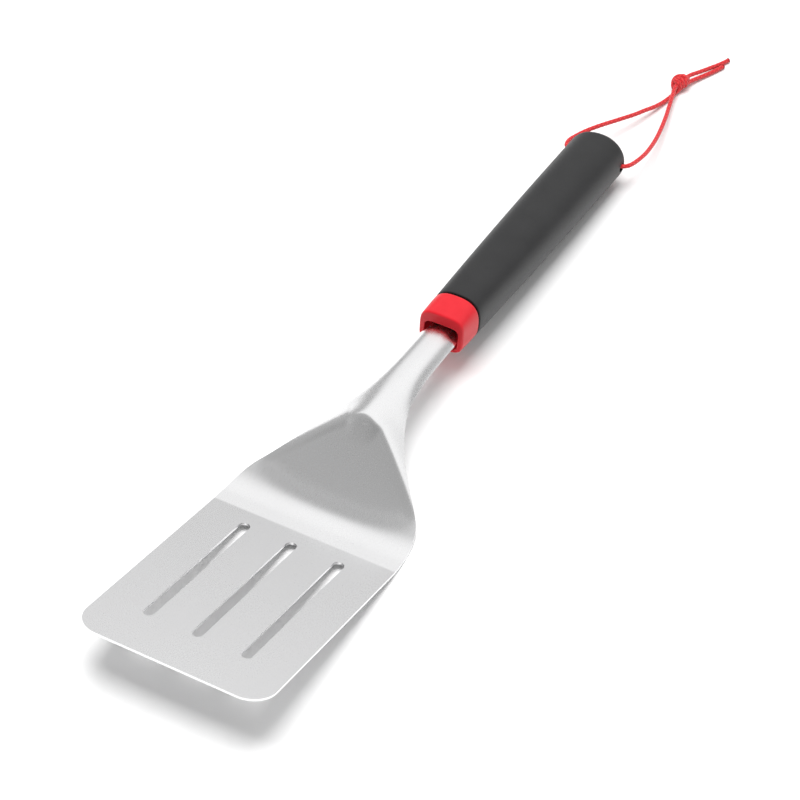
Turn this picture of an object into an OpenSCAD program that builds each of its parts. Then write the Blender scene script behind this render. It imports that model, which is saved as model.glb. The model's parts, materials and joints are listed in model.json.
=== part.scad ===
// Grill spatula: a slotted steel blade pressed in one piece with its shoulder and neck,
// a red collar, a black grip in two shells round a stiff core, and a cord loop to hang it by.
// It stands as it rests on a table: on the heel behind the blade and on the end of the grip.

/* [Blade] */
// Length of the flat blade, from its front edge to the bend
blade_l = 122; // [90:1:160]
// Width of the blade
blade_w = 98; // [80:1:120]
// Radius of the two front corners
corner_r = 13; // [4:1:25]
// Thickness of the steel sheet
sheet_t = 1.2; // [0.8:0.1:2]
// Number of slots
slot_n = 3; // [1:1:4]
// Width of a slot
slot_w = 5.5; // [4.5:0.5:8]
// Distance from each side of the blade to the middle of its outer slot
slot_side_gap = 23.6; // [15:0.1:30]
// Flat steel between the front edge and the slots
slot_front_gap = 24.4; // [15:0.1:40]
// Flat steel between the slots and the bend
slot_back_gap = 9; // [6:0.5:25]

/* [Shoulder] */
// Length of the gentle first step of the heel, from the bend
heel_l = 7; // [4:0.5:10]
// Slope of that first step, as rise over run
heel_slope = 0.1; // [0.05:0.01:0.15]
// Distance from the bend to where the heel stops curving upward
riser_l = 24; // [20:0.5:30]
// How far the curve lifts the heel over that distance
riser_lift = 2.9; // [2:0.1:4]
// Distance from the bend to the foot of the pressed face, on the middle line
face_x = 20.5; // [18:0.1:24]
// Slope of the pressed face at its foot, as rise over run
face_slope = 0.75; // [0.65:0.01:0.85]
// How deep the face is dished below its rims
dish_depth = 1.5; // [0:0.1:2]
// Distance from the bend to where the shoulder is at half its width
shoulder_mid = 43.5; // [38:0.5:52]

/* [Neck] */
// Width of the neck in front of the collar
neck_w = 19.8; // [17:0.1:21]
// Depth of the rolled edges of the neck
neck_drop = 5.7; // [4:0.1:6.5]
// Height of the neck's crest above the grip's middle line, where the neck ends
neck_crown = 3.8; // [3:0.1:4.5]
// Angle between the neck and the blade
neck_angle = 9.9; // [8:0.1:12]
// Length of the step down from the neck to the tang, in front of the collar
joggle_l = 4; // [3:0.1:7]
// Height of that step
joggle_drop = 0.8; // [0.5:0.1:2]
// How far each side of the neck steps in there
joggle_side = 0.7; // [0.5:0.1:1.5]
// Length of the tang behind the collar
tang_l = 80; // [60:1:110]

/* [Grip] */
// Distance from the bend to the back of the collar, along the blade
grip_x = 143.6; // [130:0.1:175]
// Height of the grip's middle line above the blade at the back of the collar
grip_z = 53.9; // [50:0.1:58]
// Angle between the grip and the blade
grip_angle = 9.1; // [7:0.1:12]
// Length of the grip behind the collar
grip_l = 172; // [140:0.5:210]
// Width of the grip at its front end
grip_front_w = 26.3; // [25:0.1:34]
// Height of the grip at its front end
grip_front_h = 25.6; // [24.5:0.1:32]
// Width of the grip at its far end
grip_end_w = 32.8; // [30:0.1:40]
// Height of the grip at its far end
grip_end_h = 28.8; // [27:0.1:34]
// Radius round the far end
grip_end_r = 5; // [3:0.5:7]
// Least thickness of the shells round the core
shell_t = 3.6; // [2:0.1:5]
// Gap between the collar and the grip
joint_gap = 1.4; // [0.6:0.1:2]

/* [Collar] */
// Length of the collar
collar_l = 15.9; // [11:0.1:20]
// Width of the collar's front face
collar_front_w = 24.6; // [20:0.1:30]
// Height of the collar's front face above the middle line
collar_front_top = 10.7; // [9:0.1:14]
// Depth of the collar's front face below the middle line
collar_front_bottom = 10.3; // [8:0.1:14]
// Thickness of the collar's front face on each side of the opening
rim_side = 2.9; // [2:0.1:4]
// Thickness of the collar's front face above the opening
rim_top = 6.1; // [4:0.1:7]
// Thickness of the collar's front face below the opening
rim_bottom = 1.9; // [1.5:0.1:3]
// Corner radius of the opening
mouth_r = 4; // [2:0.5:5]

/* [Core] */
// Distance from the end of the core to the end of the grip
core_end_gap = 26; // [20:1:40]
// Length of the spigot that the collar sits on
spigot_l = 7; // [5:0.5:9]
// Thickness of the spigot on each side of the tang
spigot_wall = 2.4; // [1.5:0.1:4]
// Diameter of the pins that hold the tang
pin_d = 4; // [3:0.1:5]
// Distance between the two pins
pin_pitch = 38; // [20:1:48]
// Distance from the rear pin to the end of the tang
pin_end_gap = 18; // [8:1:24]

/* [Hanging loop] */
// Diameter of the cord
cord_d = 2.5; // [1.8:0.1:2.8]
// Diameter of the hole for the cord
hole_d = 5.2; // [4.5:0.1:6]
// Distance from the middle of the hole to the end of the grip
hole_inset = 7; // [6:0.5:12]
// Length of the knot
knot_l = 12.5; // [10:0.5:16]
// Thickness of the knot
knot_d = 10.2; // [7:0.1:12]

/* [Hidden] */

// Clearances: moving or sliding fit, and close fit
slide_gap = 0.2;
close_gap = 0.1;
// Radius of the rounded crest of the shoulder, and slope of its sides
roof_r = 7;
roof_slope = 0.8;
// Drop at the edges of the tang, and height of its top above the middle line
tang_drop = 0.3;
tang_top = 0.9;
// Rounding between the face and the sides, and between the face and the heel
ridge_soft = 2.6;
heel_soft = 1.6;
// Width of the wall round the dish, as a height difference
dish_wall = 4;
// How much steeper the face gets toward its top
face_curve = 0.0138;
// The blunt top of the face: where it starts to steepen, how fast, and how it rounds off sideways
lip_x = 44;
lip_curve = 0.1;
lip_corner = 0.0008;
// How squarely the neck is rolled: 2 is round, more is flatter on top
channel_power = 2.8;
// How the foot of the face sweeps back toward the sides and at its two corners
foot_sweep = 0.0015;
foot_corner = 0.0000017;
// Overlap that makes a cut pass through a face
through = 1;
steel = [0.80, 0.80, 0.81];
red = [0.86, 0.10, 0.13];
black = [0.16, 0.16, 0.17];

// --- small mathematics ---
function mix(a, b, k) = a + (b - a) * k;
function ramp(from, to, x) = min(1, max(0, (x - from) / (to - from)));
function ease(from, to, x) = let(k = ramp(from, to, x)) k * k * (3 - 2 * k);
function soft_min(a, b, r) = (a + b - sqrt((a - b) ^ 2 + r * r)) / 2;
function soft_max(a, b, r) = (a + b + sqrt((a - b) ^ 2 + r * r)) / 2;

// --- shape of the pressed shoulder and neck, in the blade's frame ---
// x runs from the bend toward the grip, y is sideways, z is up from the top of the blade.
mouth_w = collar_front_w - 2 * rim_side;
mouth_top = collar_front_top - rim_top;
mouth_bottom = collar_front_bottom - rim_bottom;
core_w = min(grip_front_w, grip_front_h) - 2 * shell_t;
tang_w = min(mouth_w, core_w) - 2 * spigot_wall;
mouth_x = grip_x - collar_l * cos(grip_angle);
joggle_x = mouth_x - joggle_l;
seat_x = grip_x - (spigot_l + joint_gap) * cos(grip_angle);
tang_end_x = grip_x + tang_l * cos(grip_angle);
shoulder_run_front = 8;
shoulder_run_back = 12;
function grip_line(x) = grip_z + tan(grip_angle) * (x - grip_x);
function neck_line(x) = grip_line(joggle_x) + neck_crown + tan(neck_angle) * (x - joggle_x);
function crest(x) = mix(neck_line(x) - joggle_drop * ramp(joggle_x, mouth_x, x), grip_line(x) + tang_top,
    ease(mouth_x, seat_x, x));
function spread(x) = 1 / (1 + exp((x - shoulder_mid)
    / mix(shoulder_run_front, shoulder_run_back, ease(shoulder_mid - 15, shoulder_mid + 15, x))));
function half_width(x) = let(neck = neck_w / 2 + (blade_w - neck_w) / 2 * spread(x) / spread(0))
    mix(neck - joggle_side * ramp(joggle_x, mouth_x, x), tang_w / 2, ease(mouth_x, seat_x, x));
function heel(x) = heel_slope * x
    + (x < heel_l ? 0
    : x < riser_l ? riser_lift * ((x - heel_l) / (riser_l - heel_l)) ^ 2
    : riser_lift + 2 * riser_lift / (riser_l - heel_l) * (x - riser_l));
function foot(y) = face_x + foot_sweep * y ^ 2 + foot_corner * y ^ 4;
function lip(x, y) = lip_curve * max(0, x - lip_x - lip_corner * y ^ 4) ^ 2;
function face(x, y) = let(run = x - foot(y))
    heel(foot(y)) + face_slope * run + face_curve * max(0, run) ^ 2 + lip(x, y);
function roof_drop(y) = roof_slope * (sqrt(y * y + roof_r * roof_r) - roof_r);
function channel_drop(x, y) = mix(neck_drop, tang_drop, ease(mouth_x, seat_x, x)) * abs(y / half_width(x)) ^ channel_power;
neck_start = shoulder_mid + 15;
neck_formed = shoulder_mid + 55;
function drop(x, y) = mix(roof_drop(y), channel_drop(x, y), ease(neck_start, neck_formed, x));
function back(x, y) = crest(x) - drop(x, y);
function dished_face(x, y) = face(x, y)
    - dish_depth * ease(0, dish_wall, back(x, y) - face(x, y)) * ease(0, dish_wall, face(x, y) - heel(x));
function press_z(x, y) = x > neck_start + 10 ? back(x, y)
    : x <= 0 ? 0
    : mix(heel(x), soft_max(heel(x), soft_min(dished_face(x, y), back(x, y), ridge_soft), heel_soft),
        ease(0, riser_l, x));
slope_step = 0.05;
function press_normal(x, y) = x <= 0 ? [0, 0, 1]
    : let(dx = (press_z(x + slope_step, y) - press_z(x - slope_step, y)) / (2 * slope_step),
          dy = (press_z(x, y + slope_step) - press_z(x, y - slope_step)) / (2 * slope_step),
          n = [-dx, -dy, 1])
      n / norm(n);

// Stations along the shoulder: close together where it curves, wide apart along the tang
station_fine = 1.2;
station_wide = 4;
fine_n = round((neck_start + 8) / station_fine);
stations = concat([for (i = [0 : fine_n]) i * station_fine],
    [for (x = fine_n * station_fine + station_wide; x < joggle_x - 1; x = x + station_wide) x],
    [for (i = [0 : 6]) mix(joggle_x, mouth_x, i / 6)],
    [for (i = [1 : 6]) mix(mouth_x, seat_x, i / 6)],
    [for (i = [1 : 5]) mix(seat_x, tang_end_x, i / 5)]);
across_n = 26;
function across(j) = let(k = 2 * j / across_n - 1) 1.3 * k - 0.3 * k ^ 3;

// Resting tilt: the heel and the far end of the grip both touch the table
function axis_point(s, v) = [grip_x + s * cos(grip_angle) - v * sin(grip_angle),
    grip_z + s * sin(grip_angle) + v * cos(grip_angle)];
end_center = axis_point(grip_l - grip_end_r, grip_end_r - grip_end_h / 2);
riser_rate = 2 * riser_lift / (riser_l - heel_l) ^ 2;
function contact_x(tilt) = heel_l + (tan(tilt) - heel_slope) / riser_rate;
function contact_point(tilt) = [contact_x(tilt) + sheet_t * sin(tilt), heel(contact_x(tilt)) - sheet_t * cos(tilt)];
function next_tilt(tilt) = let(d = end_center - contact_point(tilt)) atan2(d[1], d[0]) - asin(grip_end_r / norm(d));
function settle(tilt, tries) = tries == 0 ? tilt : settle(next_tilt(tilt), tries - 1);
rest_tilt = settle(12, 8);
function level_x(p) = p[0] * cos(rest_tilt) + p[1] * sin(rest_tilt);
function level_z(p) = p[1] * cos(rest_tilt) - p[0] * sin(rest_tilt);
lift = -level_z(contact_point(rest_tilt));
shift = -(level_x([-blade_l, -sheet_t]) + level_x(end_center) + grip_end_r) / 2;

// --- placing ---
module in_blade_frame() {
    translate([shift, 0, lift])
        rotate([0, rest_tilt, 0])
            children();
}

// In the grip's frame, x runs along the grip from the back of the collar.
module in_grip_frame() {
    in_blade_frame()
        translate([grip_x, 0, grip_z])
            rotate([0, -grip_angle, 0])
                children();
}

// --- building blocks ---
// Closed skin through rings that all have the same number of points
module skin(rings) {
    ring_n = len(rings[0]);
    last = len(rings) - 1;
    points = [for (ring = rings) each ring];
    sides = [for (i = [0 : last - 1], j = [0 : ring_n - 1])
        let(k = (j + 1) % ring_n)
        each [[i * ring_n + j, (i + 1) * ring_n + j, (i + 1) * ring_n + k],
              [i * ring_n + j, (i + 1) * ring_n + k, i * ring_n + k]]];
    caps = [[for (j = [0 : ring_n - 1]) j], [for (j = [ring_n - 1 : -1 : 0]) last * ring_n + j]];
    polyhedron(points, concat(sides, caps));
}

// Oval ring across the grip at s: power 2 is an ellipse, more is squarer
ring_points = 48;
function bulge(k, power) = sign(k) * abs(k) ^ (2 / power);
function oval(s, half_w, top, bottom, power) = [for (i = [0 : ring_points - 1])
    let(a = 360 * i / ring_points, c = bulge(cos(a), power), d = bulge(sin(a), power))
    [s, half_w * c, (d > 0 ? top : bottom) * d]];

// Rounded rectangle prism along the grip
module rounded_bar(from, to, half_w, top, bottom, r) {
    translate([from, 0, 0])
        rotate([90, 0, 90])
            linear_extrude(to - from)
                rounded_outline(half_w, top, bottom, r);
}

module rounded_outline(half_w, top, bottom, r) {
    translate([-half_w, r - bottom])
        square([2 * half_w, top + bottom - 2 * r]);
    translate([r - half_w, -bottom])
        square([2 * (half_w - r), top + bottom]);
    for (side = [-1, 1], z = [top - r, r - bottom])
        translate([side * (half_w - r), z])
            circle(r, $fn = 32);
}

// --- steel pressing ---
module blade_outline() {
    translate([corner_r - blade_l, -blade_w / 2])
        square([blade_l - corner_r, blade_w]);
    translate([-blade_l, corner_r - blade_w / 2])
        square([blade_l, blade_w - 2 * corner_r]);
    for (side = [-1, 1])
        translate([corner_r - blade_l, side * (blade_w / 2 - corner_r)])
            circle(corner_r, $fn = 64);
}

slot_pitch = (blade_w - 2 * slot_side_gap) / (slot_n - 1);

module slot_outline() {
    front = slot_front_gap + slot_w / 2 - blade_l;
    rear = -slot_back_gap - slot_w / 2;
    translate([front, -slot_w / 2])
        square([rear - front, slot_w]);
    for (x = [front, rear])
        translate([x, 0])
            circle(slot_w / 2, $fn = 32);
}

module pressed_shoulder() {
    row = across_n + 1;
    last = len(stations) - 1;
    top = [for (x = stations, j = [0 : across_n])
        let(y = half_width(x) * across(j)) [x, y, press_z(x, y)]];
    under = [for (x = stations, j = [0 : across_n])
        let(y = half_width(x) * across(j)) [x, y, press_z(x, y)] - sheet_t * press_normal(x, y)];
    base = len(top);
    function at(i, j) = i * row + j;
    top_faces = [for (i = [0 : last - 1], j = [0 : across_n - 1])
        each [[at(i, j), at(i, j + 1), at(i + 1, j + 1)], [at(i, j), at(i + 1, j + 1), at(i + 1, j)]]];
    under_faces = [for (f = top_faces) [f[2] + base, f[1] + base, f[0] + base]];
    side_faces = [for (i = [0 : last - 1], edge = [0, across_n])
        let(a = at(i, edge), b = at(i + 1, edge))
        each edge == 0 ? [[a, b, b + base], [a, b + base, a + base]]
            : [[b, a, a + base], [b, a + base, b + base]]];
    end_faces = [for (j = [0 : across_n - 1], i = [0, last])
        let(a = at(i, j), b = at(i, j + 1))
        each i == 0 ? [[b, a, a + base], [b, a + base, b + base]]
            : [[a, b, b + base], [a, b + base, a + base]]];
    polyhedron(concat(top, under), concat(top_faces, under_faces, side_faces, end_faces));
}

module blade() {
    color(steel)
        in_blade_frame()
            difference() {
                union() {
                    translate([0, 0, -sheet_t])
                        linear_extrude(sheet_t)
                            difference() {
                                blade_outline();
                                for (i = [0 : slot_n - 1])
                                    translate([0, slot_n == 1 ? 0 : slot_side_gap - blade_w / 2 + i * slot_pitch])
                                        slot_outline();
                            }
                    pressed_shoulder();
                }
                pin_holes(pin_d + 2 * slide_gap);
            }
}

// Holes for the two pins, square to the grip, in the blade's frame
module pin_holes(d) {
    translate([grip_x, 0, grip_z])
        rotate([0, -grip_angle, 0])
            for (s = [pin_front_s, pin_rear_s])
                translate([s, 0, 0])
                    cylinder(d = d, h = 2 * core_w, center = true, $fn = 32);
}

// --- collar ---
collar_power = 3.8;
grip_power = 2.6;
collar_edge_r = 0.9;
back_edge_r = 0.4;
function collar_ring(k, inset) = oval(collar_l * (k - 1), mix(collar_front_w, grip_front_w, k) / 2 - inset,
    mix(collar_front_top, grip_front_h / 2, k) - inset, mix(collar_front_bottom, grip_front_h / 2, k) - inset,
    mix(collar_power, grip_power, k));
collar_rings = concat(
    [for (i = [0 : 3]) let(a = 30 * i)
        collar_ring(collar_edge_r / collar_l * (1 - cos(a)), collar_edge_r * (1 - sin(a)))],
    [for (i = [1 : 4]) collar_ring(i / 4 - back_edge_r / collar_l * i / 4, 0)],
    [collar_ring(1, back_edge_r)]);

module collar() {
    color(red)
        in_grip_frame()
            difference() {
                skin(collar_rings);
                rounded_bar(-collar_l - through, through, mouth_w / 2, mouth_top, mouth_bottom, mouth_r);
            }
}

// --- core ---
flange_d = min(grip_front_w, grip_front_h) - 2;
core_l = grip_l - core_end_gap;
pin_rear_s = tang_l - pin_end_gap;
pin_front_s = pin_rear_s - pin_pitch;
core_corner_r = 3;
tang_slot_bottom = tang_top - tang_drop - sheet_t - 2 * slide_gap;

module handle_core() {
    color(black)
        in_grip_frame()
            difference() {
                union() {
                    rounded_bar(-spigot_l, joint_gap, mouth_w / 2 - close_gap,
                        mouth_top - close_gap, mouth_bottom - close_gap, mouth_r - close_gap);
                    rotate([0, 90, 0])
                        cylinder(d = flange_d, h = joint_gap, $fn = 64);
                    rounded_bar(joint_gap, core_l, core_w / 2, core_w / 2, core_w / 2, core_corner_r);
                }
                tang_slot();
                for (s = [pin_front_s, pin_rear_s])
                    translate([s, 0, 0])
                        cylinder(d = pin_d, h = 2 * core_w, center = true, $fn = 32);
            }
}

// Slot for the tang, from the spigot's front face
module tang_slot() {
    w = tang_w + 2 * slide_gap;
    translate([-spigot_l - through, -w / 2, tang_slot_bottom])
        cube([spigot_l + tang_l + 2 * through, w, tang_top + slide_gap - tang_slot_bottom]);
}

module tang_pin(s) {
    color(steel)
        in_grip_frame()
            translate([s, 0, 0])
                cylinder(d = pin_d, h = core_w, center = true, $fn = 32);
}

module tang_pin_front() {
    tang_pin(pin_front_s);
}

module tang_pin_rear() {
    tang_pin(pin_rear_s);
}

// --- grip shells ---
edge_r = 0.6;
end_ring_n = 5;
function grip_ring(s, inset) = let(k = 1 - (1 - s / grip_l) ^ 2, h = mix(grip_front_h, grip_end_h, k) / 2 - inset)
    oval(s, mix(grip_front_w, grip_end_w, k) / 2 - inset, h, h, mix(grip_power, 2.1, k));
grip_rings = concat(
    [grip_ring(joint_gap, edge_r), grip_ring(joint_gap + edge_r, 0)],
    [for (i = [1 : 9]) grip_ring(grip_l * i / 10, 0)],
    [for (i = [0 : end_ring_n]) let(a = 88 * i / end_ring_n)
        grip_ring(grip_l - grip_end_r + grip_end_r * sin(a), grip_end_r * (1 - cos(a)))]);

// One half of the grip, above or below the parting plane
module grip_shell(side) {
    in_grip_frame()
        difference() {
            intersection() {
                skin(grip_rings);
                translate([0, -grip_end_w, side > 0 ? 0 : -grip_end_w])
                    cube([grip_l + through, 2 * grip_end_w, grip_end_w]);
            }
            rounded_bar(0, core_l + slide_gap, core_w / 2 + close_gap, core_w / 2 + close_gap,
                core_w / 2 + close_gap, core_corner_r);
            translate([grip_l - hole_inset, 0, 0])
                rotate([90, 0, 0])
                    cylinder(d = hole_d, h = 2 * grip_end_w, center = true, $fn = 32);
        }
}

module grip_upper() {
    color(black)
        grip_shell(1);
}

module grip_lower() {
    color(black)
        grip_shell(-1);
}

// --- hanging loop ---
// Middle of the hole on the table's frame
hole_at = axis_point(grip_l - hole_inset, 0);
hole_x = level_x(hole_at) + shift;
hole_z = level_z(hole_at) + lift;
// Routes of the two ends of the cord, from the middle of the hole to the tips. Each point is its
// distance behind the hole, its distance sideways as a share of half the grip's width, and its
// height as a share of the hole's height.
left_route = [[0, 0, 1.05], [0, 0.43, 1.05], [0, 0.73, 1.05], [0.4, 0.94, 1.05], [1.6, 1.08, 1.05],
    [4.2, 1.15, 1.05], [8, 1.16, 1.03], [13, 1.09, 1], [19, 0.98, 0.96], [26, 0.82, 0.9],
    [34, 0.63, 0.8], [42, 0.44, 0.68], [50, 0.25, 0.56], [58, 0.08, 0.43], [66, -0.06, 0.31],
    [72.5, -0.17, 0.19], [78.5, -0.25, 0.09], [84.5, -0.32, 0.02], [90, -0.39, 0.02], [95, -0.46, 0.06],
    [99.5, -0.53, 0.12], [105, -0.6, 0.14], [111, -0.71, 0.09], [118, -0.88, 0.03],
    [125, -1.07, 0.02], [133, -1.26, 0.02]];
right_route = [[0, 0, 1.05], [0, -0.43, 1.05], [0, -0.73, 1.05], [0.3, -0.95, 1.05], [1.8, -1.09, 1.03],
    [4.8, -1.18, 0.99], [9, -1.22, 0.92], [15, -1.26, 0.85], [22, -1.27, 0.76], [29, -1.24, 0.67],
    [36, -1.19, 0.57], [44, -1.12, 0.49], [52, -1.03, 0.42], [60, -0.93, 0.37], [68, -0.82, 0.32],
    [75, -0.71, 0.29], [81.5, -0.61, 0.28], [88, -0.51, 0.28], [93.5, -0.43, 0.3], [98.5, -0.41, 0.33],
    [104, -0.46, 0.32], [111, -0.56, 0.27], [118, -0.73, 0.19], [125, -0.9, 0.12], [133, -1.09, 0.04],
    [140.5, -1.27, 0.01]];
function loop_point(p) = [hole_x + p[0], p[1] * grip_end_w / 2, mix(cord_d / 2 + table_gap, hole_z, p[2])];
table_gap = 0.1;
cord_sides = 8;

// Round tube along a route: every ring stands square to the route
function direction(route, i) = let(a = route[max(0, i - 1)], b = route[min(len(route) - 1, i + 1)])
    (b - a) / norm(b - a);
function cord_ring(route, i) = let(along = direction(route, i),
    side = cross([0, 0, 1], along) / norm(cross([0, 0, 1], along)), up = cross(along, side))
    [for (k = [0 : cord_sides - 1]) let(a = 360 * (k + 0.5) / cord_sides)
        route[i] + cord_d / 2 * (cos(a) * side + sin(a) * up)];

module cord_tube(route) {
    points = [for (p = route) loop_point(p)];
    skin([for (i = [0 : len(points) - 1]) cord_ring(points, i)]);
}

module cord_left() {
    color(red)
        cord_tube(left_route);
}

module cord_right() {
    color(red)
        cord_tube(right_route);
}

// Knot: a plump barrel that lies along the cord
knot_behind = 102.5;
knot_side = -0.47;
knot_turn = -20;
knot_steps = 8;

module cord_knot() {
    color(red)
        translate([hole_x + knot_behind, knot_side * grip_end_w / 2, knot_d / 2])
            rotate([0, 90, knot_turn])
                rotate_extrude($fn = 24)
                    polygon([for (i = [0 : knot_steps]) let(a = 180 * i / knot_steps - 90)
                        [knot_d / 2 * cos(a) ^ 0.7, knot_l / 2 * sin(a)]]);
}

blade();
collar();
handle_core();
tang_pin_front();
tang_pin_rear();
grip_upper();
grip_lower();
cord_left();
cord_right();
cord_knot();
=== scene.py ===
import json
import math

import bmesh
import bpy
from mathutils import Matrix, Vector


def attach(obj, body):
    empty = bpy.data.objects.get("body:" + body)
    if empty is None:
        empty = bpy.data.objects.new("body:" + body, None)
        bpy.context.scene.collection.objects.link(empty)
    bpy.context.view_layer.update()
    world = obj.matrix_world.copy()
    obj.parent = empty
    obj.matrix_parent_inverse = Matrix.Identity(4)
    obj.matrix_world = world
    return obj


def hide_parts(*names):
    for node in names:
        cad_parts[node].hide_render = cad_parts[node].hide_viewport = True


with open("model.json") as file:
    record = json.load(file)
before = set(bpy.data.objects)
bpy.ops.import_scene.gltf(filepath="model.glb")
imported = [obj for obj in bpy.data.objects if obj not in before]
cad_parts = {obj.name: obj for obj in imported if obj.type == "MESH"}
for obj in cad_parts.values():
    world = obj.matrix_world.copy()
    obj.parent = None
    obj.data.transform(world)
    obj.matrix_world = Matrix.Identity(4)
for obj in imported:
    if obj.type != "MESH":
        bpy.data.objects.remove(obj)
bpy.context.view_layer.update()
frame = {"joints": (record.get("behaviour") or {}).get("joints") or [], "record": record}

mm = 0.001

# where things are
# The blade frame has its origin at the bend, x toward the grip and z up from the blade's top.
# The grip frame has its origin at the back of the collar, x along the grip.
place = {
    "topMarkX": -61.0,      # the mount on the blade's top, in the blade frame
    "topMarkY": 12.7,
    "gripX": 143.6,
    "gripZ": 53.9,
    "gripAngle": 9.1,
    "collarLength": 15.9,
}
topMark = next(m for m in frame["record"]["mounts"] if m["name"] == "blade_top")
restTilt = math.atan2(topMark["axis"][0], topMark["axis"][2])
bladeTurn = Matrix.Rotation(restTilt, 4, "Y")
bladeFrame = Matrix.Translation(
    Vector(topMark["pos_m"]) - bladeTurn @ Vector((place["topMarkX"], place["topMarkY"], 0)) * mm
) @ bladeTurn @ Matrix.Scale(mm, 4)
gripAngle = math.radians(place["gripAngle"])
gripFrame = (bladeFrame @ Matrix.Translation((place["gripX"], 0, place["gripZ"]))
             @ Matrix.Rotation(-gripAngle, 4, "Y"))
holeAt = Vector(frame["joints"][0]["pos_m"])

# camera
camera = {
    "at": (-0.825229, -0.421672, 0.86597),
    "forward": (0.651647, 0.336098, -0.679996),
    "right": (0.478435, -0.877777, 0.024634),
    "lens": 115.04,
}


def placeCamera():
    cam = bpy.data.cameras.new("camera")
    obj = bpy.data.objects.new("camera", cam)
    bpy.context.scene.collection.objects.link(obj)
    right, forward = Vector(camera["right"]), Vector(camera["forward"])
    up = right.cross(forward)
    turn = Matrix((right, up, -forward)).transposed().to_4x4()
    obj.matrix_world = Matrix.Translation(camera["at"]) @ turn
    cam.sensor_width = 36
    cam.lens = camera["lens"]
    cam.clip_start = 0.05
    cam.clip_end = 50
    bpy.context.scene.camera = obj


placeCamera()
print("camera placed")


# small helpers
def mix(a, b, k):
    return a + (b - a) * k


def ramp(start, end, x):
    return min(1, max(0, (x - start) / (end - start)))


def ease(start, end, x):
    k = ramp(start, end, x)
    return k * k * (3 - 2 * k)


def newPiece(name, bm, body, node, material):
    mesh = bpy.data.meshes.new(name)
    bm.normal_update()
    bm.to_mesh(mesh)
    bm.free()
    obj = bpy.data.objects.new(name, mesh)
    bpy.context.scene.collection.objects.link(obj)
    mesh.shade_smooth()
    mesh.materials.append(material)
    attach(obj, body)
    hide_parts(node)
    return obj


def applyModifiers(obj):
    graph = bpy.context.evaluated_depsgraph_get()
    mesh = bpy.data.meshes.new_from_object(obj.evaluated_get(graph))
    obj.modifiers.clear()
    obj.data = mesh


def addBevel(obj, width, segments, angle):
    bevel = obj.modifiers.new("roundedEdges", "BEVEL")
    bevel.width = width * mm
    bevel.segments = segments
    bevel.limit_method = "ANGLE"
    bevel.angle_limit = math.radians(angle)
    bevel.harden_normals = True
    bevel.use_clamp_overlap = True


def cutWith(obj, cutters):
    for cutter in cutters:
        cut = obj.modifiers.new("cut", "BOOLEAN")
        cut.operation = "DIFFERENCE"
        cut.solver = "EXACT"
        cut.object = cutter
    applyModifiers(obj)
    for cutter in cutters:
        bpy.data.objects.remove(cutter)


def cutterFrom(bm):
    mesh = bpy.data.meshes.new("cutter")
    bmesh.ops.recalc_face_normals(bm, faces=bm.faces)
    bm.to_mesh(mesh)
    bm.free()
    obj = bpy.data.objects.new("cutter", mesh)
    bpy.context.scene.collection.objects.link(obj)
    return obj


def firstRing(bm, points):
    ring = bmesh.ops.create_circle(bm, segments=len(points), radius=1)["verts"]
    for vert, point in zip(ring, points):
        vert.co = point
    return ring


def pullRing(bm, ring, points):
    # ring's edges are extruded and the new verts are moved to points
    edges = [bm.edges.get((ring[i], ring[(i + 1) % len(ring)])) for i in range(len(ring))]
    made = bmesh.ops.extrude_edge_only(bm, edges=edges)["geom"]
    fresh = {v for v in made if isinstance(v, bmesh.types.BMVert)}
    following = []
    for vert in ring:
        twin = next(e.other_vert(vert) for e in vert.link_edges if e.other_vert(vert) in fresh)
        following.append(twin)
    for twin, point in zip(following, points):
        twin.co = point
    return following


def loft(bm, rings, capped):
    ring = first = firstRing(bm, rings[0])
    for points in rings[1:]:
        ring = pullRing(bm, ring, points)
    if capped:
        bm.faces.new(first[::-1])
        bm.faces.new(ring)


# materials
def newMaterial(name):
    material = bpy.data.materials.new(name)
    material.use_nodes = True
    tree = material.node_tree
    shader = next(n for n in tree.nodes if n.type == "BSDF_PRINCIPLED")
    return material, tree, shader


def addNode(tree, kind, values=None, **settings):
    made = tree.nodes.new(kind)
    for key, value in settings.items():
        setattr(made, key, value)
    for key, value in (values or {}).items():
        made.inputs[key].default_value = value
    return made


def objectPattern(tree, turn=(0, 0, 0), scale=(1, 1, 1)):
    # object coordinates in millimetres, turned and stretched
    coords = addNode(tree, "ShaderNodeTexCoord")
    straight = addNode(tree, "ShaderNodeMapping", {"Rotation": turn, "Scale": (1000, 1000, 1000)})
    stretch = addNode(tree, "ShaderNodeMapping", {"Scale": scale})
    tree.links.new(coords.outputs["Object"], straight.inputs["Vector"])
    tree.links.new(straight.outputs["Vector"], stretch.inputs["Vector"])
    return stretch.outputs["Vector"]


def noiseOf(tree, vector, scale, detail=2.0, roughness=0.5):
    noise = addNode(tree, "ShaderNodeTexNoise",
                    {"Scale": scale, "Detail": detail, "Roughness": roughness})
    tree.links.new(vector, noise.inputs["Vector"])
    return noise.outputs["Fac"]


def rangeOf(tree, value, low, high, outLow, outHigh, eased=False):
    span = addNode(tree, "ShaderNodeMapRange", {"From Min": low, "From Max": high,
                                                "To Min": outLow, "To Max": outHigh})
    span.interpolation_type = "SMOOTHSTEP" if eased else "LINEAR"
    tree.links.new(value, span.inputs["Value"])
    return span.outputs["Result"]


def colourOf(tree, value, stops):
    ramp = addNode(tree, "ShaderNodeValToRGB")
    ramp.color_ramp.elements[0].position, ramp.color_ramp.elements[0].color = stops[0]
    ramp.color_ramp.elements[1].position, ramp.color_ramp.elements[1].color = stops[-1]
    for position, colour in stops[1:-1]:
        ramp.color_ramp.elements.new(position).color = colour
    tree.links.new(value, ramp.inputs["Fac"])
    return ramp.outputs["Color"]


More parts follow.
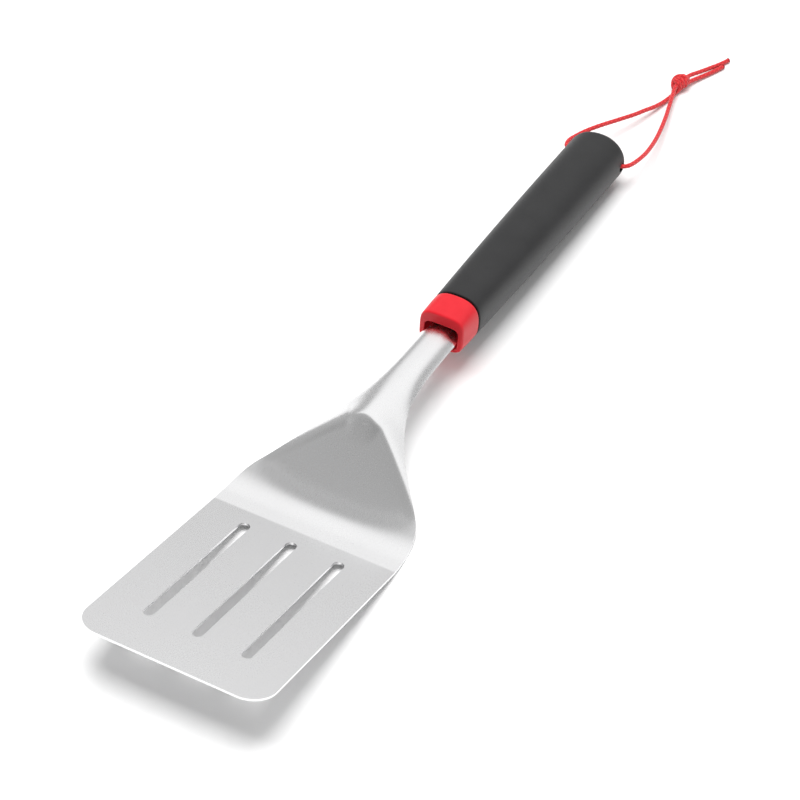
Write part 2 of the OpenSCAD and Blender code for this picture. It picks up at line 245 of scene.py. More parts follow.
def bumpOf(tree, shader, height, strength, distance):
    bump = addNode(tree, "ShaderNodeBump", {"Strength": strength, "Distance": distance})
    tree.links.new(height, bump.inputs["Height"])
    tree.links.new(bump.outputs["Normal"], shader.inputs["Normal"])


brushedLook = {
    "colourDark": (0.86, 0.86, 0.865, 1),
    "colourLight": (0.93, 0.93, 0.935, 1),
    "roughLow": 0.24,
    "roughHigh": 0.33,
    "grainStretch": (0.05, 1.0, 1.0),   # drawn out along the blade
    "grainScale": 3.4,
    "fineStretch": (0.12, 1.6, 1.6),
    "fineScale": 3.5,
    "cloudScale": 0.02,                 # slow change of gloss over the sheet
    "grainHeight": 0.00001,
}


def brushedSteel():
    material, tree, shader = newMaterial("brushedSteel")
    shader.inputs["Metallic"].default_value = 1.0
    look = brushedLook
    flat = (0, restTilt, 0)     # turns the pattern level with the blade
    grain = noiseOf(tree, objectPattern(tree, flat, look["grainStretch"]), look["grainScale"], 3.0, 0.6)
    fine = noiseOf(tree, objectPattern(tree, flat, look["fineStretch"]), look["fineScale"], 2.0, 0.5)
    cloud = noiseOf(tree, objectPattern(tree), look["cloudScale"], 2.0)
    tint = colourOf(tree, grain, [(0.3, look["colourDark"]), (0.7, look["colourLight"])])
    tree.links.new(tint, shader.inputs["Base Color"])
    mixed = addNode(tree, "ShaderNodeMath", operation="MULTIPLY_ADD")
    mixed.inputs[1].default_value = 0.7
    tree.links.new(grain, mixed.inputs[0])
    scaled = rangeOf(tree, cloud, 0.3, 0.7, 0.0, 0.3)
    tree.links.new(scaled, mixed.inputs[2])
    tree.links.new(rangeOf(tree, mixed.outputs["Value"], 0.25, 0.75, look["roughLow"], look["roughHigh"]),
                   shader.inputs["Roughness"])
    bumpOf(tree, shader, fine, 0.2, look["grainHeight"])
    return material


def turnedSteel():
    material, tree, shader = newMaterial("turnedSteel")
    shader.inputs["Metallic"].default_value = 1.0
    grain = noiseOf(tree, objectPattern(tree, scale=(1, 1, 6)), 2.0, 2.0)
    tree.links.new(colourOf(tree, grain, [(0.3, (0.62, 0.62, 0.63, 1)), (0.7, (0.74, 0.74, 0.75, 1))]),
                   shader.inputs["Base Color"])
    tree.links.new(rangeOf(tree, grain, 0.3, 0.7, 0.25, 0.4), shader.inputs["Roughness"])
    return material


def redPlastic():
    material, tree, shader = newMaterial("redPlastic")
    shader.inputs["Specular IOR Level"].default_value = 0.38
    speckle = noiseOf(tree, objectPattern(tree), 3.0, 3.0)
    cloud = noiseOf(tree, objectPattern(tree), 0.12, 2.0)
    tree.links.new(colourOf(tree, cloud, [(0.3, (0.62, 0.009, 0.019, 1)), (0.7, (0.66, 0.014, 0.025, 1))]),
                   shader.inputs["Base Color"])
    tree.links.new(rangeOf(tree, speckle, 0.3, 0.7, 0.36, 0.46), shader.inputs["Roughness"])
    bumpOf(tree, shader, speckle, 0.12, 0.00003)
    return material


def blackPlastic(name, low, high, grain):
    material, tree, shader = newMaterial(name)
    shader.inputs["Specular IOR Level"].default_value = 0.5
    speckle = noiseOf(tree, objectPattern(tree), grain, 3.0, 0.6)
    cloud = noiseOf(tree, objectPattern(tree), 0.06, 2.0)
    tree.links.new(colourOf(tree, cloud, [(0.3, low), (0.7, high)]), shader.inputs["Base Color"])
    tree.links.new(rangeOf(tree, speckle, 0.3, 0.7, 0.42, 0.54), shader.inputs["Roughness"])
    bumpOf(tree, shader, speckle, 0.2, 0.00003)
    return material


def braidedCord():
    material, tree, shader = newMaterial("braidedCord")
    shader.inputs["Roughness"].default_value = 0.75
    shader.inputs["Sheen Weight"].default_value = 0.25
    shader.inputs["Sheen Roughness"].default_value = 0.5
    shader.inputs["Specular IOR Level"].default_value = 0.3
    # painted shade and painted highlight: the strand height stored on the cord's vertices darkens the
    # grooves between strands and lightens the crowns
    tint = addNode(tree, "ShaderNodeAttribute", attribute_name="strandShade")
    strand = noiseOf(tree, objectPattern(tree), 4.0, 3.0)
    summed = addNode(tree, "ShaderNodeMath", operation="MULTIPLY_ADD")
    summed.inputs[1].default_value = 0.25
    tree.links.new(strand, summed.inputs[0])
    tree.links.new(tint.outputs["Fac"], summed.inputs[2])
    tree.links.new(colourOf(tree, summed.outputs["Value"],
                            [(0.05, (0.13, 0.003, 0.006, 1)), (0.45, (0.5, 0.012, 0.02, 1)),
                             (1.0, (0.78, 0.05, 0.05, 1))]), shader.inputs["Base Color"])
    bumpOf(tree, shader, strand, 0.3, 0.00005)
    return material


steelFinish = brushedSteel()
pinFinish = turnedSteel()
collarFinish = redPlastic()
gripFinish = blackPlastic("gripPlastic", (0.013, 0.013, 0.0138, 1), (0.017, 0.017, 0.0178, 1), 2.2)
coreFinish = blackPlastic("corePlastic", (0.008, 0.008, 0.008, 1), (0.012, 0.012, 0.012, 1), 1.5)
cordFinish = braidedCord()
print("materials ready")

# hanging cord
# Each route point: distance behind the hole in mm, distance sideways as a share of half the
# grip's width, height as a share of the hole's height.
cordShape = {
    "diameter": 2.5,
    "tableGap": 0.1,
    "halfGrip": 16.4,
    "sides": 16,
    "step": 0.28,
    "relief": 0.14,         # how far the strands stand up, in mm
    "strandPitch": 3.4,
    "strands": 4,
    "tipLength": 1.6,
    "tipFlare": 0.3,        # how much thicker the melted tips are, in mm
}
leftRoute = [(0, 0, 1.05), (0, 0.43, 1.05), (0, 0.73, 1.05), (0.4, 0.94, 1.05), (1.6, 1.08, 1.05),
             (4.2, 1.15, 1.05), (8, 1.16, 1.03), (13, 1.09, 1), (19, 0.98, 0.96), (26, 0.82, 0.9),
             (34, 0.63, 0.8), (42, 0.44, 0.68), (50, 0.25, 0.56), (58, 0.08, 0.43), (66, -0.06, 0.31),
             (72.5, -0.17, 0.19), (78.5, -0.25, 0.09), (84.5, -0.32, 0.02), (90, -0.39, 0.02),
             (95, -0.46, 0.06), (99.5, -0.53, 0.12), (105, -0.6, 0.14), (111, -0.71, 0.09),
             (118, -0.88, 0.03), (125, -1.07, 0.02), (133, -1.26, 0.02)]
rightRoute = [(0, 0, 1.05), (0, -0.43, 1.05), (0, -0.73, 1.05), (0.3, -0.95, 1.05), (1.8, -1.09, 1.03),
              (4.8, -1.18, 0.99), (9, -1.22, 0.92), (15, -1.26, 0.85), (22, -1.27, 0.76),
              (29, -1.24, 0.67), (36, -1.19, 0.57), (44, -1.12, 0.49), (52, -1.03, 0.42),
              (60, -0.93, 0.37), (68, -0.82, 0.32), (75, -0.71, 0.29), (81.5, -0.61, 0.28),
              (88, -0.51, 0.28), (93.5, -0.43, 0.3), (98.5, -0.41, 0.33), (104, -0.46, 0.32),
              (111, -0.56, 0.27), (118, -0.73, 0.19), (125, -0.9, 0.12), (133, -1.09, 0.04),
              (140.5, -1.27, 0.01)]


def routePoint(p):
    low = (cordShape["diameter"] / 2 + cordShape["tableGap"]) * mm
    return Vector((holeAt.x + p[0] * mm, p[1] * cordShape["halfGrip"] * mm, mix(low, holeAt.z, p[2])))


def smoothLine(points, step):
    # even steps along a Catmull-Rom curve through the points
    splits = 24
    dense = []
    for i in range(len(points) - 1):
        a = points[max(0, i - 1)]
        b, c = points[i], points[i + 1]
        d = points[min(len(points) - 1, i + 2)]
        for n in range(splits):
            t = n / splits
            dense.append(0.5 * ((2 * b) + (c - a) * t + (2 * a - 5 * b + 4 * c - d) * t * t
                                + (3 * b - a - 3 * c + d) * t ** 3))
    dense.append(points[-1])
    line, spare = [dense[0]], 0.0
    for a, b in zip(dense, dense[1:]):
        gap = (b - a).length
        while spare + gap >= step:
            a = a + (b - a) * ((step - spare) / gap)
            gap = (b - a).length
            spare = 0.0
            line.append(a.copy())
        spare += gap
    line.append(dense[-1])
    return line


def braidHeight(turn, along):
    # strands that wind both ways round the cord and pass over each other, from 0 to 1
    wind = cordShape["strands"] * turn
    travel = 2 * math.pi * along / (cordShape["strandPitch"] * mm)
    right = abs(math.sin((wind + travel) / 2))
    left = abs(math.sin((wind - travel) / 2))
    over = 0.5 + 0.5 * math.sin(wind) * math.sin(travel)
    return mix(right, left, over) ** 0.8


def braidTube(bm, layer, line, radius, meltedTip=False):
    sides = cordShape["sides"]
    across = Vector((0, 0, 1))
    along = 0.0
    rings = []
    last = len(line) - 1
    tipRings = cordShape["tipLength"] / cordShape["step"]
    for i, point in enumerate(line):
        ahead = (line[min(last, i + 1)] - line[max(0, i - 1)]).normalized()
        across = (across - ahead * across.dot(ahead)).normalized()
        side = ahead.cross(across)
        if i:
            along += (point - line[i - 1]).length
        melted = 1 - ease(0, tipRings, last - i) if meltedTip else 0.0
        points, strandShades = [], []
        for k in range(sides):
            turn = 2 * math.pi * k / sides
            high = mix(braidHeight(turn, along), 0.25, melted)
            reach = radius + (cordShape["relief"] * (high - 1) + cordShape["tipFlare"] * melted) * mm
            points.append(point + (across * math.cos(turn) + side * math.sin(turn)) * reach)
            # the strand height is also kept per vertex as painted shade for the grooves and painted
            # highlight for the crowns; the melted tips get a darker value
            strandShades.append(high * (1 - 0.7 * melted))
        rings.append((points, strandShades))
    first = ring = firstRing(bm, rings[0][0])
    for vert, tint in zip(ring, rings[0][1]):
        vert[layer] = tint
    for points, strandShades in rings[1:]:
        ring = pullRing(bm, ring, points)
        for vert, tint in zip(ring, strandShades):
            vert[layer] = tint
    bm.faces.new(first[::-1])
    tip = bm.faces.new(ring)
    if meltedTip:
        bmesh.ops.inset_individual(bm, faces=[tip], thickness=radius * 0.3, depth=radius * 0.22)


def cordPiece(name, route, node):
    line = smoothLine([routePoint(p) for p in route], cordShape["step"] * mm)
    bm = bmesh.new()
    # this layer carries the painted shade of the braid's grooves
    layer = bm.verts.layers.float.new("strandShade")
    braidTube(bm, layer, line, cordShape["diameter"] / 2 * mm, meltedTip=True)
    bmesh.ops.recalc_face_normals(bm, faces=bm.faces)
    obj = newPiece(name, bm, "hanging_cord", node, cordFinish)
    length = sum((b - a).length for a, b in zip(line, line[1:]))
    return obj, line, length


# knot
knotShape = {
    "behind": 102.5,
    "side": -0.47,
    "turn": -20.0,
    "length": 12.5,
    "thickness": 10.2,
    "cord": 2.7,
    "turns": 4.4,
    "firstTurn": 0.8,       # where the turns start round the knot, in radians
    "lean": 9.0,            # how far each turn leans over, in degrees
    "endTaper": 0.55,       # how much thinner the turns get toward the end
    "loose": 0.07,          # how unevenly the turns lie
    "tuckLift": 0.9,        # how far the tucked strand stands above the turns
}


def wrapLine():
    k = knotShape
    reachAlong = (k["length"] - k["cord"]) / 2
    reachOut = (k["thickness"] - k["cord"]) / 2 - k["tuckLift"]
    lean = math.tan(math.radians(k["lean"]))
    perTurn = 24
    points = []
    count = round(k["turns"] * perTurn)
    for i in range(count + 1):
        share = 2 * i / count - 1
        angle = 2 * math.pi * k["turns"] * i / count + k["firstTurn"]
        out = reachOut * (1 - abs(share + 0.25) ** 3.2 * k["endTaper"])
        out *= 1 + k["loose"] * math.sin(1.7 * angle)
        along = share * reachAlong + lean * out * math.cos(angle)
        points.append(Vector((along, out * math.cos(angle), out * math.sin(angle))))
    return points


def tuckLine():
    k = knotShape
    out = (k["thickness"] - k["cord"]) / 2
    steps = 12
    points = []
    for i in range(steps + 1):
        share = i / steps
        angle = math.radians(mix(-70, 150, share))
        lifted = out * mix(0.62, 1, math.sin(math.pi * share) ** 0.6)
        along = mix(-0.44, 0.16, share) * k["length"]
        points.append(Vector((along, lifted * math.cos(angle), lifted * math.sin(angle))))
    return points


def buildKnot():
    at = Vector((holeAt.x + knotShape["behind"] * mm,
                 knotShape["side"] * cordShape["halfGrip"] * mm, knotShape["thickness"] / 2 * mm))
    turn = (Matrix.Translation(at) @ Matrix.Rotation(math.radians(knotShape["turn"]), 4, "Z")
            @ Matrix.Scale(mm, 4))
    bm = bmesh.new()
    # this layer carries the painted shade of the braid's grooves
    layer = bm.verts.layers.float.new("strandShade")
    for points in (wrapLine(), tuckLine()):
        line = smoothLine([turn @ p for p in points], cordShape["step"] * mm)
        braidTube(bm, layer, line, knotShape["cord"] / 2 * mm)
    bmesh.ops.recalc_face_normals(bm, faces=bm.faces)
    return newPiece("cordKnot", bm, "hanging_cord", "cord_knot", cordFinish)


cordKnot = buildKnot()
for name, route, node, side, extra in (("cordLeft", leftRoute, "cord_left", 1, [cordKnot]),
                                       ("cordRight", rightRoute, "cord_right", -1, [])):
    piece, line, length = cordPiece(name, route, node)
    print(name, "is", round(length * 1000), "mm long")

# steel pressing
steelShape = {
    "bladeLength": 122.0,
    "bladeWidth": 98.0,
    "cornerRadius": 13.0,
    "thickness": 1.2,
    "slotWidth": 5.5,
    "slotMiddles": (-25.4, 0.0, 25.4),
    "slotFrontGap": 24.4,
    "slotBackGap": 9.0,
    "heelLength": 7.0,
    "heelSlope": 0.1,
    "riserLength": 24.0,
    "riserLift": 2.9,
    "faceX": 20.5,
    "faceSlope": 0.75,
    "faceCurve": 0.0138,
    "footSweep": 0.0015,
    "footCorner": 0.0000017,
    "lipX": 44.0,
    "lipCurve": 0.1,
    "lipCorner": 0.0008,
    "dishDepth": 1.5,
    "dishWall": 4.0,
    "ridgeSoft": 2.6,
    "heelSoft": 1.6,
    "shoulderMiddle": 43.5,
    "shoulderBlend": 15.0,  # how far either side of its middle the curve's run changes
    "shoulderRunFront": 8.0,
    "shoulderRunBack": 12.0,
    "faceEnd": 25.0,        # how far behind the shoulder's middle the face is gone
    "neckFormed": 55.0,     # how far behind it the neck is fully rolled
    "roofRadius": 7.0,
    "roofSlope": 0.8,
    "neckWidth": 19.8,
    "neckDrop": 5.7,
    "neckCrown": 3.8,
    "neckAngle": 9.9,
    "channelPower": 2.8,
    "joggleLength": 4.0,
    "joggleDrop": 0.8,
    "joggleSide": 0.7,
    "seatBack": 8.4,        # where the tang is fully formed, ahead of the back of the collar
    "tangWidth": 13.6,
    "tangLength": 80.0,
    "tangDrop": 0.3,
    "tangTop": 0.9,
    "edgeRounding": 0.28,
}
s = steelShape
halfBlade = s["bladeWidth"] / 2
mouthX = place["gripX"] - place["collarLength"] * math.cos(gripAngle)
joggleX = mouthX - s["joggleLength"]
seatX = place["gripX"] - s["seatBack"] * math.cos(gripAngle)
tangEndX = place["gripX"] + s["tangLength"] * math.cos(gripAngle)


def softMin(a, b, r):
    return (a + b - math.sqrt((a - b) ** 2 + r * r)) / 2


def softMax(a, b, r):
    return (a + b + math.sqrt((a - b) ** 2 + r * r)) / 2


def gripLine(x):
    return place["gripZ"] + math.tan(gripAngle) * (x - place["gripX"])


def crestHeight(x):
    neck = gripLine(joggleX) + s["neckCrown"] + math.tan(math.radians(s["neckAngle"])) * (x - joggleX)
    neck -= s["joggleDrop"] * ramp(joggleX, mouthX, x)
    return mix(neck, gripLine(x) + s["tangTop"], ease(mouthX, seatX, x))


def narrowing(x):
    middle, blend = s["shoulderMiddle"], s["shoulderBlend"]
    run = mix(s["shoulderRunFront"], s["shoulderRunBack"], ease(middle - blend, middle + blend, x))
    return 1 / (1 + math.exp((x - middle) / run))


def halfWidth(x):
    if x <= 0:
        fromFront = x + s["bladeLength"]
        if fromFront >= s["cornerRadius"]:
            return halfBlade
        return halfBlade - s["cornerRadius"] + math.sqrt(
            max(0, s["cornerRadius"] ** 2 - (s["cornerRadius"] - fromFront) ** 2))
    neck = s["neckWidth"] / 2
    wide = neck + (halfBlade - neck) * narrowing(x) / narrowing(0)
    wide -= s["joggleSide"] * ramp(joggleX, mouthX, x)
    return mix(wide, s["tangWidth"] / 2, ease(mouthX, seatX, x))


def heelHeight(x):
    run = s["riserLength"] - s["heelLength"]
    if x < s["heelLength"]:
        return s["heelSlope"] * x
    if x < s["riserLength"]:
        return s["heelSlope"] * x + s["riserLift"] * ((x - s["heelLength"]) / run) ** 2
    return s["heelSlope"] * x + s["riserLift"] + 2 * s["riserLift"] / run * (x - s["riserLength"])


def footOf(y):
    return s["faceX"] + s["footSweep"] * y ** 2 + s["footCorner"] * y ** 4


def faceHeight(x, y):
    foot = footOf(y)
    run = x - foot
    lip = s["lipCurve"] * max(0, x - s["lipX"] - s["lipCorner"] * y ** 4) ** 2
    return heelHeight(foot) + s["faceSlope"] * run + s["faceCurve"] * max(0, run) ** 2 + lip


def backHeight(x, y):
    roof = s["roofSlope"] * (math.hypot(y, s["roofRadius"]) - s["roofRadius"])
    edge = mix(s["neckDrop"], s["tangDrop"], ease(mouthX, seatX, x))
    channel = edge * abs(y / halfWidth(x)) ** s["channelPower"]
    formed = ease(s["shoulderMiddle"] + s["shoulderBlend"], s["shoulderMiddle"] + s["neckFormed"], x)
    return crestHeight(x) - mix(roof, channel, formed)


def steelHeight(x, y):
    if x <= 0:
        return 0.0
    back = backHeight(x, y)
    if x > s["shoulderMiddle"] + s["faceEnd"]:
        return back
    heel, face = heelHeight(x), faceHeight(x, y)
    wall = s["dishWall"]
    dished = face - s["dishDepth"] * ease(0, wall, back - face) * ease(0, wall, face - heel)
    pressed = softMax(heel, softMin(dished, back, s["ridgeSoft"]), s["heelSoft"])
    return mix(heel, pressed, ease(0, s["riserLength"], x))


def spaced(start, end, count):
    return [mix(start, end, i / count) for i in range(count)]


def buildSteel():
    radius = s["slotWidth"] / 2
    slotStart = s["slotFrontGap"] - s["bladeLength"]
    slotEnd = -s["slotBackGap"]
    quarter = [math.radians(15 * i) for i in range(6)]
    # stations along the sheet, closest where it curves most
    corner = [math.radians(6.5 * i) for i in range(14)]
    xs = [s["cornerRadius"] * (1 - math.cos(a)) - s["bladeLength"] for a in corner]
    xs += spaced(s["cornerRadius"] - s["bladeLength"], slotStart, 6)
    xs += [slotStart + radius * (1 - math.cos(a)) for a in quarter]
    xs += spaced(slotStart + radius, slotEnd - radius, 30)
    xs += [slotEnd - radius + radius * math.sin(a) for a in quarter]
    xs += spaced(slotEnd, -0.5, 5) + [-0.5, 0.0]
    xs += spaced(0.6, 16, 16) + spaced(16, 28, 22) + spaced(28, 42, 20) + spaced(42, 56, 32)
    xs += spaced(56, joggleX, 36) + spaced(joggleX, mouthX, 12) + spaced(mouthX, seatX, 12)
    xs += spaced(seatX, tangEndX, 14) + [tangEndX]
    # and across it, with each slot's end on a quarter circle
    ys, reach = [], -halfBlade
    for middle in s["slotMiddles"]:
        gaps = 15 if reach == -halfBlade else 13
        ys += spaced(reach, middle - radius, gaps)
        ys += [middle - radius * math.cos(a) for a in quarter]
        ys += [middle + radius * math.sin(a) for a in quarter]
        reach = middle + radius
    ys += spaced(reach, halfBlade, 15) + [halfBlade]

    bm = bmesh.new()
    bmesh.ops.create_grid(bm, x_segments=len(xs) - 1, y_segments=len(ys) - 1, size=1)
    at = {}
    for vert in bm.verts:
        i = round((vert.co.x + 1) / 2 * (len(xs) - 1))
        j = round((vert.co.y + 1) / 2 * (len(ys) - 1))
        at[i, j] = vert
        vert.co = (xs[i], ys[j], 0)

    # slot ends: the grid's crossings lie on the circle, so joining them draws it
    frontI, backI = xs.index(slotStart), xs.index(slotEnd - radius)
    for middle in s["slotMiddles"]:
        lowJ = ys.index(middle - radius)
        for i0, mirrored in ((frontI, False), (backI, True)):
            for n in range(6):
                near, far = (6 - n, 5 - n) if mirrored else (n, n + 1)
                for sign in (-1, 1):
                    a = at[i0 + n, lowJ + 6 + sign * near]
                    b = at[i0 + n + 1, lowJ + 6 + sign * far]
                    bmesh.ops.connect_verts(bm, verts=[a, b])

    def inSlot(p):
        for middle in s["slotMiddles"]:
            nearest = min(max(p.x, slotStart + radius), slotEnd - radius)
            if math.hypot(p.x - nearest, p.y - middle) < radius:
                return True
        return False

    holes = [f for f in bm.faces if inSlot(f.calc_center_median())]
    bmesh.ops.delete(bm, geom=holes, context="FACES")
    loose = [v for v in bm.verts if not v.link_faces]
    bmesh.ops.delete(bm, geom=loose, context="VERTS")
    for vert in bm.verts:
        x, share = vert.co.x, vert.co.y / halfBlade
        if x > 0 or x < s["cornerRadius"] - s["bladeLength"]:
            y = halfWidth(x) * share
        else:
            y = vert.co.y
        vert.co = (x, y, steelHeight(x, y))
    bm.transform(bladeFrame)
    obj = newPiece("steelPressing", bm, "spatula", "blade", steelFinish)
    wall = obj.modifiers.new("sheet", "SOLIDIFY")
    wall.thickness = s["thickness"] * mm
    wall.offset = -1
    wall.use_even_offset = True
    addBevel(obj, s["edgeRounding"], 2, 60)


buildSteel()
print("steel pressing done")

# collar
collarShape = {
    "length": place["collarLength"],
    "frontHalfWidth": 12.3,
    "frontTop": 10.7,
    "frontBottom": 10.3,
    "frontPower": 3.8,
    "backHalfWidth": 13.15,
    "backHalfHeight": 12.8,
    "backPower": 2.6,
    "frontEdge": 1.0,
    "backEdge": 0.4,
    "mouthHalfWidth": 9.4,
    "mouthTop": 4.6,
    "mouthBottom": 8.4,
    "mouthPower": 5.0,
    "mouthEdge": 0.35,
    "mouthFlat": 0.4,       # flat of the front face round the opening's edge
}
ringSides = 96


def oval(along, halfW, top, bottom, power, middle=0.0):
    points = []
    for i in range(ringSides):
        a = 2 * math.pi * i / ringSides
        c, d = math.cos(a), math.sin(a)
        y = math.copysign(abs(c) ** (2 / power), c) * halfW
        v = math.copysign(abs(d) ** (2 / power), d) * (top if d > 0 else bottom)
        points.append(gripFrame @ Vector((along, y, middle + v)))
    return points


def collarRing(k, inset):
    c = collarShape
    return oval(c["length"] * (k - 1),
                mix(c["frontHalfWidth"], c["backHalfWidth"], k) - inset,
                mix(c["frontTop"], c["backHalfHeight"], k) - inset,
                mix(c["frontBottom"], c["backHalfHeight"], k) - inset,
                mix(c["frontPower"], c["backPower"], k))


def mouthRing(along, wider):
    c = collarShape
    middle = (c["mouthTop"] - c["mouthBottom"]) / 2
    high = (c["mouthTop"] + c["mouthBottom"]) / 2
    return oval(along, c["mouthHalfWidth"] + wider, high + wider, high + wider, c["mouthPower"], middle)


def buildCollar():
    c = collarShape
    rings = [mouthRing(0, 0), mouthRing(c["mouthEdge"] * 2 - c["length"], 0)]
    for i in range(5):
        a = math.radians(22.5 * i)
        rings.append(mouthRing(c["mouthEdge"] * (1 - math.sin(a)) - c["length"],
                               c["mouthEdge"] * (1 - math.cos(a))))
    rings.append(mouthRing(-c["length"], c["mouthEdge"] + c["mouthFlat"]))
    for i in range(9):
        a = math.radians(11.25 * i)
        rings.append(collarRing(c["frontEdge"] / c["length"] * (1 - math.cos(a)),
                                c["frontEdge"] * (1 - math.sin(a))))
    rings += [collarRing(i / 12, 0) for i in range(2, 12)]
    for i in range(5):
        a = math.radians(22.5 * i)
        rings.append(collarRing(1 - c["backEdge"] / c["length"] * (1 - math.sin(a)),
                                c["backEdge"] * (1 - math.cos(a))))
    bm = bmesh.new()
    loft(bm, rings, capped=False)
    edges = [e for e in bm.edges if e.is_boundary]
    bmesh.ops.bridge_loops(bm, edges=edges)
    bmesh.ops.recalc_face_normals(bm, faces=bm.faces)
    obj = newPiece("collarRing", bm, "spatula", "collar", collarFinish)
    obj.data.set_sharp_from_angle(angle=math.radians(60))


buildCollar()
print("collar done")

# grip
gripShape = {
    "length": 172.0,
    "frontHalfWidth": collarShape["backHalfWidth"],
    "frontHalfHeight": collarShape["backHalfHeight"],
    "frontPower": collarShape["backPower"],
    "endHalfWidth": cordShape["halfGrip"],
    "endHalfHeight": 14.4,
    "endPower": 2.1,
    "gap": 1.4,
    "frontEdge": 0.6,
    "endRounding": 5.0,
    "coreHalf": 9.3,
    "coreEnd": 146.2,
    "holeRadius": 2.6,
    "holeInset": 7.0,
    "seamEdge": 0.22,
    "bodyStart": 6.0,       # first ring of the plain body
    "bodyEnd": 14.0,        # distance from the end where the rings come closer together
    "endInsets": (5.0, 7.0, 9.5, 12.0),
}


def gripRing(along, inset):
    g = gripShape
    k = 1 - (1 - along / g["length"]) ** 2
    high = mix(g["frontHalfHeight"], g["endHalfHeight"], k) - inset
    return oval(along, mix(g["frontHalfWidth"], g["endHalfWidth"], k) - inset, high, high,
                mix(g["frontPower"], g["endPower"], k))


def boxCutter(low, high):
    bm = bmesh.new()
    bmesh.ops.create_cube(bm, size=1)
    low, high = Vector(low), Vector(high)
    for vert in bm.verts:
        vert.co = Vector([mix(a, b, c + 0.5) for a, b, c in zip(low, high, vert.co)])
    bm.transform(gripFrame)
    return cutterFrom(bm)


def holeCutter():
    g = gripShape
    bm = bmesh.new()
    bmesh.ops.create_cone(bm, cap_ends=True, segments=48, radius1=g["holeRadius"],
                          radius2=g["holeRadius"], depth=60)
    bm.transform(gripFrame @ Matrix.Translation((g["length"] - g["holeInset"], 0, 0))
                 @ Matrix.Rotation(math.pi / 2, 4, "X"))
    return cutterFrom(bm)


def buildGrip(name, node, upper):
    g = gripShape
    rings = []
    for i in range(5):
        a = math.radians(22.5 * i)
        rings.append(gripRing(g["gap"] + g["frontEdge"] * (1 - math.cos(a)),
                              g["frontEdge"] * (1 - math.sin(a))))
    bodyEnd = g["length"] - g["bodyEnd"]
    rings += [gripRing(x, 0) for x in spaced(g["bodyStart"], bodyEnd, 30)]
    rings += [gripRing(x, 0) for x in spaced(bodyEnd, g["length"] - g["endRounding"], 8)]
    for i in range(12):
        a = math.radians(90 * i / 12)
        rings.append(gripRing(g["length"] - g["endRounding"] * (1 - math.sin(a)),
                              g["endRounding"] * (1 - math.cos(a))))
    for inset in g["endInsets"]:
        rings.append(gripRing(g["length"], inset))
    bm = bmesh.new()
    loft(bm, rings, capped=True)
    geom = list(bm.verts) + list(bm.edges) + list(bm.faces)
    up = (gripFrame.to_3x3() @ Vector((0, 0, 1))).normalized()
    bmesh.ops.bisect_plane(bm, geom=geom, dist=1e-7, plane_co=gripFrame @ Vector((0, 0, 0)), plane_no=up,
                           clear_inner=upper, clear_outer=not upper)
    bmesh.ops.holes_fill(bm, edges=[e for e in bm.edges if e.is_boundary], sides=0)
    bmesh.ops.recalc_face_normals(bm, faces=bm.faces)
    obj = newPiece(name, bm, "spatula", node, gripFinish)
    half = g["coreHalf"]
    cutWith(obj, [boxCutter((-1, -half, -half), (g["coreEnd"], half, half)), holeCutter()])
    addBevel(obj, g["seamEdge"], 2, 35)


buildGrip("gripUpper", "grip_upper", True)
buildGrip("gripLower", "grip_lower", False)
print("grip done")

# carried-over pieces
carriedFinishes = {"handle_core": coreFinish, "tang_pin_front": pinFinish, "tang_pin_rear": pinFinish}
for node, finish in carriedFinishes.items():
    carried = bpy.data.objects[node]
    carried.data.materials.clear()
    carried.data.materials.append(finish)

# studio
studio = {
    "floorRadius": 4,
    "floorWhite": 0.93,
    "ambient": 0.55,
    "softboxGlow": 1.32,
    "softboxSide": (0.99, -0.14, 0.0),
    "softboxHeight": (18.0, 34.0),  # where its glow starts and is full, in degrees up
    "frontSide": (-0.89, -0.45, 0.0),
    "frontShade": 0.76,
    "keyPower": 18.0,
    "keySize": 0.9,
    "keyAt": (-0.02, 0.15, 1.3),
}


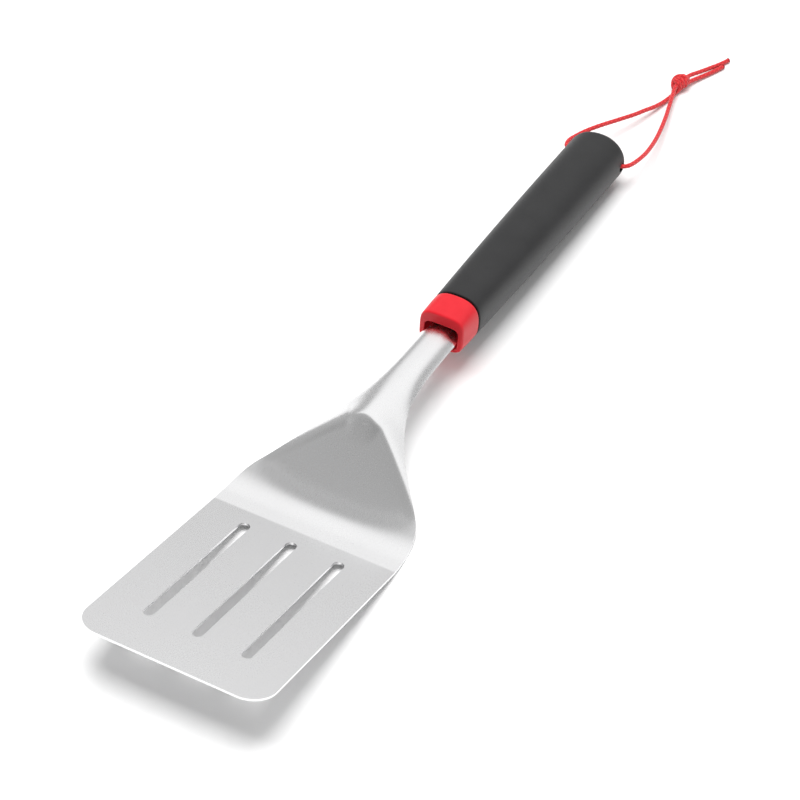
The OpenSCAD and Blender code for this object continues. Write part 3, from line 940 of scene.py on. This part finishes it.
def buildFloor():
    bm = bmesh.new()
    bmesh.ops.create_circle(bm, cap_ends=True, segments=96, radius=studio["floorRadius"])
    mesh = bpy.data.meshes.new("floor")
    bm.to_mesh(mesh)
    bm.free()
    floor = bpy.data.objects.new("floor", mesh)
    bpy.context.scene.collection.objects.link(floor)
    material, _, shader = newMaterial("floorPaper")
    white = studio["floorWhite"]
    shader.inputs["Base Color"].default_value = (white, white, white, 1)
    shader.inputs["Roughness"].default_value = 0.9
    shader.inputs["Specular IOR Level"].default_value = 0.1
    mesh.materials.append(material)


def buildWorld():
    world = bpy.data.worlds.new("studio")
    world.use_nodes = True
    bpy.context.scene.world = world
    tree = world.node_tree
    tree.nodes.clear()
    coords = addNode(tree, "ShaderNodeTexCoord")

    def toward(side):
        dot = addNode(tree, "ShaderNodeVectorMath", operation="DOT_PRODUCT")
        dot.inputs[1].default_value = side
        tree.links.new(coords.outputs["Generated"], dot.inputs[0])
        return dot.outputs["Value"]

    def times(a, b):
        product = addNode(tree, "ShaderNodeMath", operation="MULTIPLY")
        tree.links.new(a, product.inputs[0])
        tree.links.new(b, product.inputs[1])
        return product.outputs["Value"]

    start, full = (math.sin(math.radians(a)) for a in studio["softboxHeight"])
    raised = rangeOf(tree, toward((0, 0, 1)), start, full, 0, 1, True)
    behind = rangeOf(tree, toward(studio["softboxSide"]), 0.1, 0.4, 0, 1, True)
    glow = rangeOf(tree, times(raised, behind), 0, 1, studio["ambient"], studio["softboxGlow"])
    shade = rangeOf(tree, toward(studio["frontSide"]), 0.2, 0.9, 1, studio["frontShade"], True)
    light = times(glow, shade)
    back = addNode(tree, "ShaderNodeBackground")
    tree.links.new(light, back.inputs["Strength"])
    out = addNode(tree, "ShaderNodeOutputWorld")
    tree.links.new(back.outputs["Background"], out.inputs["Surface"])


def buildKey():
    light = bpy.data.lights.new("overheadPanel", "AREA")
    light.shape = "SQUARE"
    light.size = studio["keySize"]
    light.energy = studio["keyPower"]
    obj = bpy.data.objects.new("overheadPanel", light)
    obj.location = studio["keyAt"]
    obj.visible_glossy = False
    bpy.context.scene.collection.objects.link(obj)


buildFloor()
buildWorld()
buildKey()
bpy.context.scene.view_settings.view_transform = "Standard"
print("studio ready")
